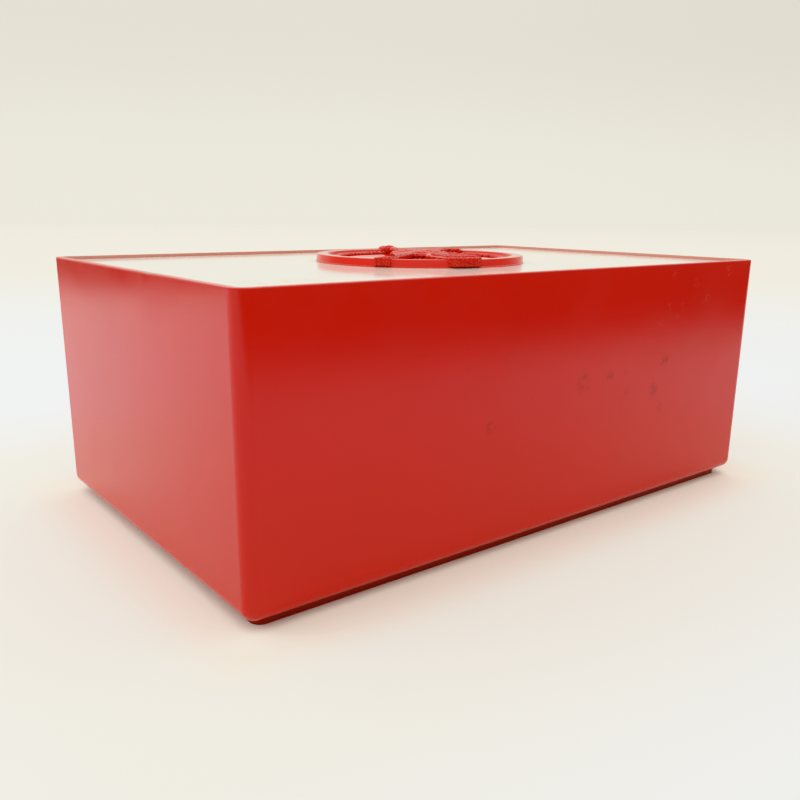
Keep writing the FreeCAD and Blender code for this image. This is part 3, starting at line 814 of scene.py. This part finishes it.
class FLEET_OT_medallion(bpy.types.Operator):
    """Makes the medallion: a dished ring, an oar, a boat hook and the ropes round them"""

    bl_idname = "fleet.medallion"
    bl_label = "Medallion"

    RELIEF_EDGE = math.radians(25)

    def execute(self, context):
        sizes = context.scene.fleet_medallion
        colours = context.scene.fleet_colours
        smooth = medallion_material(colours)
        pebbled = relief_material(colours)
        paint("medallion", smooth)
        base = Vector((0, 0, LID_HIGH.z))
        disc = self.make_disc(sizes, base, smooth)
        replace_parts(disc, "medallion")
        self.make_oar(sizes, place(sizes.turn + sizes.spread, base), pebbled)
        self.make_boat_hook(sizes, place(sizes.turn - sizes.spread, base), pebbled)
        self.make_rope(sizes, base, pebbled)
        return {"FINISHED"}

    def make_disc(self, sizes, base, material):
        """The dish, its ring with a foot round it and a step inside it, and the pins under it."""
        bm = bmesh.new()
        foot = 0.25 * MM
        outer = sizes.radius
        inner = outer - sizes.land
        step = sizes.floor + foot * 2
        profile = (
            (0.0, 0.0),
            (outer, 0.0),
            (outer, foot),
            (outer - foot, foot * 1.4),
            (outer - foot * 1.6, sizes.ring_height),
            (inner - foot * 1.6, sizes.ring_height),
            (inner - foot * 2.6, step),
            (inner - foot * 7, step),
            (inner - foot * 8, sizes.floor),
            (0.0, sizes.floor),
        )
        spun(bm, profile, 144)
        face_outwards(bm)
        bevel_sharp(bm, 0.12 * MM)
        pin_end = MEDALLION_LOW.z - LID_HIGH.z
        for n in range(PINS):
            turn = FULL_TURN * n / PINS
            x, y = PIN_CIRCLE * math.cos(turn), PIN_CIRCLE * math.sin(turn)
            rod(bm, (x, y, foot), (x, y, pin_end), PIN_RADIUS, sides=32)
        bmesh.ops.translate(bm, verts=bm.verts, vec=base)
        return settled("medallion_disc", bm, material, "lid")

    def make_oar(self, sizes, turned, material):
        """An oar: a rimmed blade with a spine, lying over the ring, a shaft and a round knob."""
        bm = bmesh.new()
        tip = sizes.radius + 1.2 * MM
        top = sizes.ring_height + sizes.relief
        half = 6.5 * MM
        shoulder = tip - 25.0 * MM
        blade = [
            (shoulder - half * 0.6, -1.3 * MM),
            (shoulder - half * 0.2, -1.9 * MM),
            (shoulder + half * 0.4, -half * 0.62),
            (shoulder + half, -half * 0.88),
            (tip - half * 0.9, -half),
            (tip - half * 0.35, -half * 0.93),
            (tip, -half * 0.55),
        ]
        face = prism(bm, mirrored(blade), sizes.floor * 0.5, top - 0.45 * MM)
        stepped(bm, face, (0.5 * MM, 0.3 * MM), (0.9 * MM, 0.0), (0.35 * MM, -0.35 * MM))
        face_outwards(bm)
        bevel_sharp(bm, 0.14 * MM, angle=self.RELIEF_EDGE)
        self.add_pebbles(bm, (tip - 15.0 * MM, tip - 1.5 * MM), half - 1.2 * MM, top - 0.15 * MM)
        for y in (-5.0, -3.6, -2.2, -0.8, 0.8, 2.2, 3.6, 5.0):
            past_flat = max(0.0, abs(y) * MM - half * 0.55)
            self.add_end_pebbles(bm, tip - 0.92 * past_flat, y * MM, 1.1 * MM, 0.9 * MM, 0.38 * MM)
        knob = (1.6 * MM - sizes.radius, 0.0, sizes.ring_height)
        rod(bm, (tip - 3.0 * MM, 0, top - 0.75 * MM), knob, 0.65 * MM, 1.25 * MM)
        ball(bm, knob, 2.3 * MM, (1.15, 1.0, 0.55))
        for n in range(4):
            whipping = ((6.0 + n * 0.95) * MM - sizes.radius, 0.0, sizes.ring_height - 0.15 * MM)
            hoop(bm, whipping, (1, 0, 0), 1.3 * MM, 0.45 * MM)
        face_outwards(bm)
        bmesh.ops.transform(bm, matrix=turned, verts=bm.verts)
        settled("medallion_oar", bm, material, "lid")

    def make_boat_hook(self, sizes, turned, material):
        """A boat hook crossed under the oar: a grip over the ring, a pole, a point and a hook."""
        bm = bmesh.new()
        butt = sizes.radius + 0.35 * MM
        half = 2.6 * MM
        top = sizes.ring_height + 0.4 * MM
        grip = [(butt - 11 * MM, -1.2 * MM), (butt - 9 * MM, -half), (butt, -half)]
        face = prism(bm, mirrored(grip), sizes.floor * 0.5, top)
        stepped(bm, face, (0.5 * MM, 0.0), (0.2 * MM, -0.2 * MM))
        face_outwards(bm)
        bevel_sharp(bm, 0.14 * MM, angle=self.RELIEF_EDGE)
        self.add_pebbles(bm, (butt - 8.5 * MM, butt - 0.8 * MM), half - 0.9 * MM, top - 0.2 * MM)
        for y in (-1.8, -0.6, 0.6, 1.8):
            self.add_end_pebbles(bm, butt, y * MM, 0.9 * MM, 0.85 * MM, 0.34 * MM)

        height = sizes.ring_height - 0.1 * MM
        grip_end = (butt - 9.0 * MM, 0, height)
        collar = (7.5 * MM - sizes.radius, 0, height)
        point = (1.6 * MM - sizes.radius, 0, height)
        rod(bm, grip_end, collar, 1.25 * MM)
        ball(bm, collar, 1.9 * MM, (1.3, 1.0, 0.7))
        rod(bm, collar, point, 1.1 * MM, 0.3 * MM)
        hook_radius = 3.1 * MM
        hook_root = Vector((7.2 * MM - sizes.radius, 0, height))
        section = Matrix.Translation(hook_root) @ Matrix.Rotation(math.radians(90), 4, "Y")
        made = bmesh.ops.create_circle(
            bm, cap_ends=True, segments=10, radius=0.75 * MM, matrix=section
        )
        bmesh.ops.spin(
            bm,
            geom=list({face for vert in made["verts"] for face in vert.link_faces}),
            cent=hook_root + Vector((0, hook_radius, 0)),
            axis=(0, 0, -1),
            angle=math.radians(200),
            steps=14,
            use_merge=False,
        )
        face_outwards(bm)
        bmesh.ops.transform(bm, matrix=turned, verts=bm.verts)
        settled("medallion_boat_hook", bm, material, "lid")

    def add_pebbles(self, bm, reach, half_width, height):
        """Rows of small pebbles over a flat face, every other row half a step along."""
        step = 1.25 * MM
        rows = int(2 * half_width / step) + 1
        for row in range(rows):
            y = (row - (rows - 1) / 2) * step
            x = reach[0] + (row % 2) * step / 2
            while x <= reach[1]:
                ball(bm, (x, y, height), 0.42 * MM, sides=8)
                x += step

    def add_end_pebbles(self, bm, x, y, low, step, radius):
        """Three small pebbles one above the other, up an end of the relief."""
        for row in range(3):
            ball(bm, (x, y, low + row * step), radius, sides=8)

    def make_rope(self, sizes, base, material):
        """A rope laid round inside the ring and two turns in the middle, all of slanted beads."""
        border = sizes.radius - sizes.land - 3.4 * MM
        turns = (
            ("medallion_rope_border", border, sizes.rope_beads, 1.0 * MM, sizes.floor + 0.3 * MM),
            ("medallion_rope_coil", 8.6 * MM, 32, 1.25 * MM, sizes.ring_height - 0.2 * MM),
            ("medallion_rope_inner_coil", 6.3 * MM, 24, 1.25 * MM, sizes.ring_height + 0.3 * MM),
        )
        for name, radius, beads, thickness, height in turns:
            bm = bmesh.new()
            points = ball(bm, (0, 0, 0), thickness, (1.0, 1.5, 0.8), 12)
            slanted = place(math.radians(38), (radius, 0, height))
            bmesh.ops.transform(bm, matrix=slanted, verts=points)
            bmesh.ops.spin(
                bm,
                geom=bm.faces[:],
                cent=(0, 0, 0),
                axis=(0, 0, 1),
                angle=FULL_TURN * (beads - 1) / beads,
                steps=beads - 1,
                use_duplicate=True,
            )
            bmesh.ops.translate(bm, verts=bm.verts, vec=base)
            settled(name, bm, material, "lid")


class FLEET_OT_screen(bpy.types.Operator):
    """Finishes the sight screen"""

    bl_idname = "fleet.screen"
    bl_label = "Sight Screen"

    def execute(self, context):
        colours = context.scene.fleet_colours
        finish = grained_plastic(
            "screen_grey_plastic", colours.screen, grain_size=0.7 * MM, depth=0.05 * MM, gloss=0.5
        )
        paint("sight_screen", finish.material)
        return {"FINISHED"}


class FLEET_OT_boards(bpy.types.Operator):
    """Finishes the trays and the grids of both boards"""

    bl_idname = "fleet.boards"
    bl_label = "Boards"

    def execute(self, context):
        colours = context.scene.fleet_colours
        tray = grained_plastic("tray_plastic", colours.tray).material
        for level in LEVELS:
            paint(f"{level}_board_tray", tray)
        for name, colour in (("ocean", colours.ocean), ("target", colours.target)):
            grid = f"lower_{name}_grid"
            material = grid_material(f"{name}_grid_plastic", colour, colours.grid_line, grid)
            for level in LEVELS:
                paint(f"{level}_{name}_grid", material)
        return {"FINISHED"}


class FLEET_OT_pegs(bpy.types.Operator):
    """Finishes the loose pegs"""

    bl_idname = "fleet.pegs"
    bl_label = "Pegs"

    def execute(self, context):
        colours = context.scene.fleet_colours
        for name, colour in (("hit", colours.hit_peg), ("miss", colours.miss_peg)):
            material = peg_material(f"{name}_peg_plastic", colour)
            for level in LEVELS:
                paint(f"{level}_{name}_pegs", material)
        return {"FINISHED"}


class FLEET_OT_ships(bpy.types.Operator):
    """Makes the ships: softened hulls with masts, funnels and turrets between the peg holes"""

    bl_idname = "fleet.ships"
    bl_label = "Ships"

    def execute(self, context):
        colours = context.scene.fleet_colours
        finish = grained_plastic(
            "ship_grey_plastic", colours.ship, grain_size=0.3 * MM, depth=0.02 * MM, gloss=0.36
        )
        for level in LEVELS:
            for ship, (cells, bridges) in SHIPS.items():
                node = f"{level}_{ship}"
                paint(node, finish.material)
                softened(node, 0.3 * MM, finish.material, node)
                self.make_fittings(node, ship, cells, bridges, finish.material)
        return {"FINISHED"}

    def make_fittings(self, node, ship, cells, bridges, material):
        """What stands on the deck, between one peg hole and the next."""
        low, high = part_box(node)
        middle = (low + high) / 2
        deck = high.z - DECKHOUSE_HEIGHT
        if high.y - low.y > high.x - low.x:
            along = place(math.radians(90), (middle.x, low.y + STERN_REACH, deck))
        else:
            along = place(0.0, (low.x + STERN_REACH, middle.y, deck))
        bm = bmesh.new()
        for gap in range(cells - 1):
            x = GRID_PITCH * (gap + 0.5)
            if gap in bridges:
                self.add_bridge(bm, x, ship)
            elif ship == "carrier":
                self.add_lift_frame(bm, x)
            else:
                self.add_turret(bm, x, 1 if gap > max(bridges) else -1)
        anchors = GRID_PITCH * (cells - 1) + 2.6 * MM
        for side in (-1, 1):
            ball(bm, (anchors, side * 1.5 * MM, -0.2 * MM), 0.6 * MM, sides=10)
        face_outwards(bm)
        bmesh.ops.transform(bm, matrix=along, verts=bm.verts)
        settled(f"{node}_fittings", bm, material, node)

    def add_bridge(self, bm, x, ship):
        """A mast and a funnel on a deckhouse, or a submarine's two periscopes."""
        roof = DECKHOUSE_HEIGHT
        sunk = roof - 0.2 * MM
        if ship == "submarine":
            for offset, height in ((-0.6 * MM, 2.4 * MM), (0.6 * MM, 1.7 * MM)):
                scope = x + offset
                rod(bm, (scope, 0, sunk), (scope, 0, roof + height), 0.4 * MM, 0.3 * MM, 12)
            return
        mast = x + 0.9 * MM
        rod(bm, (mast, 0, sunk), (mast, 0, roof + 2.6 * MM), 0.5 * MM, 0.3 * MM, 12)
        spar, half_spar = roof + 1.7 * MM, 1.2 * MM
        rod(bm, (mast, half_spar, spar), (mast, -half_spar, spar), 0.25 * MM, sides=10)
        mouth = (x - 0.9 * MM, 0, roof + 1.5 * MM)
        rod(bm, (x - 0.7 * MM, 0, sunk), mouth, 0.95 * MM, 0.8 * MM)
        hoop(bm, mouth, (0, 0, 1), 0.72 * MM, 0.2 * MM, 16, 6)

    def add_turret(self, bm, x, way):
        """A low gun turret with two short barrels towards the bow or the stern."""
        rod(bm, (x, 0, -0.1 * MM), (x, 0, 0.5 * MM), 1.75 * MM, 1.65 * MM, 20)
        half = 1.15 * MM
        house = [(x - way * half, -half), (x + way * 0.3 * half, -half * 0.85)]
        prism(bm, mirrored(house), 0.4 * MM, 1.5 * MM)
        for y in (-0.5 * MM, 0.5 * MM):
            muzzle = (x + way * 1.95 * MM, y, 1.1 * MM)
            rod(bm, (x, y, 1.0 * MM), muzzle, 0.24 * MM, sides=8)

    def add_lift_frame(self, bm, x):
        """The low frame of an aircraft lift in a carrier's flight deck."""
        half_length, half_width = 1.5 * MM, 2.6 * MM
        frame_side = [(x - half_length, -half_width), (x + half_length, -half_width)]
        face = prism(bm, mirrored(frame_side), -0.1 * MM, 0.3 * MM)
        stepped(bm, face, (0.35 * MM, 0.0), (0.05 * MM, -0.2 * MM))


class FLEET_OT_stage(bpy.types.Operator):
    """Makes the floor, the flags, the surroundings, the window lamp and the camera"""

    bl_idname = "fleet.stage"
    bl_label = "Stage"

    def execute(self, context):
        stage = context.scene.fleet_stage
        context.scene.view_settings.view_transform = "Khronos PBR Neutral"
        self.make_floor(stage)
        self.make_flags()
        self.make_surroundings(context.scene)
        self.make_window(context.scene)
        self.make_camera(context.scene, stage)
        return {"FINISHED"}

    def make_floor(self, stage):
        """A pale round floor that fades out. Its faint glow is painted light that lifts its shade
        and keeps the case's red off it; by the case it has no glow and a cream, painted shadow
        tint.
        """
        finish = Finish("floor_white", roughness=0.75, ior=1.3, emission_strength=0.44)
        x, y, _ = finish.axes()
        past_case = (abs(x) - CASE_HIGH.x).larger(abs(y) - CASE_HIGH.y)
        in_the_open = past_case.over(1 * MM, 22 * MM)
        further_off = past_case.over(30 * MM, 130 * MM)
        far_off = finish.distance((0.0, 0.0, 0.0)).over(0.25, 1.1)
        # Painted light: a cream shadow tint by the case with no glow, then a glow that lifts the
        # floor's shade in the open, bluish further off and warm far off.
        base, glow = FLOOR_TONES_AND_PAINTED_LIGHT[0]
        reached = (in_the_open, further_off, far_off)
        for mask, (tone, light) in zip(reached, FLOOR_TONES_AND_PAINTED_LIGHT[1:]):
            base = finish.mix(mask, base, tone)
            glow = finish.mix(mask, glow, light)
        edge = finish.distance((0.0, 0.3, 0.0)).over(0.9, 0.9 * stage.floor_radius)
        finish.set(base_color=base, emission_color=glow, alpha=1.0 - edge)
        bm = bmesh.new()
        bmesh.ops.create_circle(bm, cap_ends=True, segments=96, radius=stage.floor_radius)
        finished("floor", bm, finish.material)

    def make_flags(self):
        """Two black cards, before the case and left of it, that only show in reflections."""
        finish = Finish("flag_black", roughness=0.9, ior=1.1)
        x, y, _ = finish.axes()
        forwards, leftwards = 0.0 - y, 0.0 - x
        front = (0.15 * x + forwards).over(0.24, 0.44) * (1.0 - forwards.over(0.9, 1.2))
        left = leftwards.over(0.24, 0.36) * (1.0 - leftwards.over(0.8, 1.1)) * y.over(0.5, 0.85)
        finish.set(base_color=FLAG_BLACK, alpha=front.larger(left) * 0.88)
        front_card = ((-1.2, -1.2), (1.8, -0.2))
        left_card = ((-1.2, -0.19), (-0.2, 1.8))
        height = 2 * MM
        bm = bmesh.new()
        for (low_x, low_y), (high_x, high_y) in (front_card, left_card):
            corners = ((low_x, low_y), (high_x, low_y), (high_x, high_y), (low_x, high_y))
            points = [bm.verts.new((*corner, height)) for corner in corners]
            bmesh.ops.contextual_create(bm, geom=points)
        flags = finished("flags", bm, finish.material)
        flags.visible_camera = False
        flags.visible_diffuse = False
        flags.visible_shadow = False

    def make_surroundings(self, scene):
        """A room that is bright behind the case, dim in front of it and brightest overhead."""
        scene.world = bpy.data.worlds.new("room")
        room = Nodes(scene.world, "ShaderNodeOutputWorld", "Generated")
        x, y, z = room.axes()
        back = y.over(-0.5, 0.3) * (1.0 - (0.0 - x).over(0.25, 0.6))
        shade_right = (x - y).over(-0.3, 1.1) * 0.08
        shade_high = z.over(0.0, 0.2) * 0.11
        back_wall = room.mix(1.0 - shade_right - shade_high, BLACK, BACK_WALL)
        walls = room.mix(back, NEAR_WALLS, back_wall)
        colour = room.mix(z.over(0.24, 0.6), walls, CEILING)
        background = room.node("ShaderNodeBackground", inputs={"Color": colour})
        room.feed(room.output.inputs["Surface"], background.outputs[0])

    def make_window(self, scene):
        """A soft lamp behind the case's left end, kept out of the reflections."""
        data = bpy.data.lights.new("window", "AREA")
        data.shape = "SQUARE"
        data.size = 0.35
        data.energy = 1.6
        data.color = WINDOW_LIGHT
        lamp = bpy.data.objects.new("window", data)
        lamp.location = (-0.62, 0.42, 0.38)
        aim = Vector((-0.22, 0.25, 0.0))
        lamp.rotation_euler = (aim - lamp.location).to_track_quat("-Z", "Y").to_euler()
        lamp.visible_glossy = False
        scene.collection.objects.link(lamp)

    def make_camera(self, scene, stage):
        """The camera, low over the near left corner of the case."""
        data = bpy.data.cameras.new("camera")
        data.lens = stage.lens
        data.sensor_width = 36.0
        data.clip_start = 0.01
        data.clip_end = 50.0
        camera = bpy.data.objects.new("camera", data)
        level = Vector((math.sin(stage.heading), math.cos(stage.heading), 0)) * math.cos(stage.dip)
        forward = level - Vector((0, 0, math.sin(stage.dip)))
        camera.location = stage.eye
        aim = forward.to_track_quat("-Z", "Y") @ Quaternion((0, 0, 1), stage.roll)
        camera.rotation_euler = aim.to_euler()
        scene.collection.objects.link(camera)
        scene.camera = camera


class FLEET_PT_panel(bpy.types.Panel):
    """The sidebar's list of pieces"""

    bl_idname = "FLEET_PT_panel"
    bl_label = "Fleet Game"
    bl_space_type = "VIEW_3D"
    bl_region_type = "UI"
    bl_category = "Fleet Game"

    def draw(self, context):
        for name, group in GROUPS.items():
            column = self.layout.column(align=True)
            for setting in group.__annotations__:
                column.prop(getattr(context.scene, name), setting)
        for operator in OPERATORS:
            self.layout.operator(operator.bl_idname)


GROUPS = {
    "fleet_colours": FleetColours,
    "fleet_medallion": FleetMedallion,
    "fleet_stage": FleetStage,
}
OPERATORS = (
    FLEET_OT_case,
    FLEET_OT_lid,
    FLEET_OT_medallion,
    FLEET_OT_screen,
    FLEET_OT_boards,
    FLEET_OT_pegs,
    FLEET_OT_ships,
    FLEET_OT_stage,
)
CLASSES = (*GROUPS.values(), *OPERATORS, FLEET_PT_panel)


def register():
    for cls in CLASSES:
        bpy.utils.register_class(cls)
    for name, group in GROUPS.items():
        setattr(bpy.types.Scene, name, PointerProperty(type=group))


def unregister():
    for name in GROUPS:
        delattr(bpy.types.Scene, name)
    for cls in reversed(CLASSES):
        bpy.utils.unregister_class(cls)


def main():
    register()
    bpy.ops.fleet.case()
    bpy.ops.fleet.lid()
    bpy.ops.fleet.medallion()
    bpy.ops.fleet.screen()
    bpy.ops.fleet.boards()
    bpy.ops.fleet.pegs()
    bpy.ops.fleet.ships()
    bpy.ops.fleet.stage()


if __name__ == "__main__":
    main()
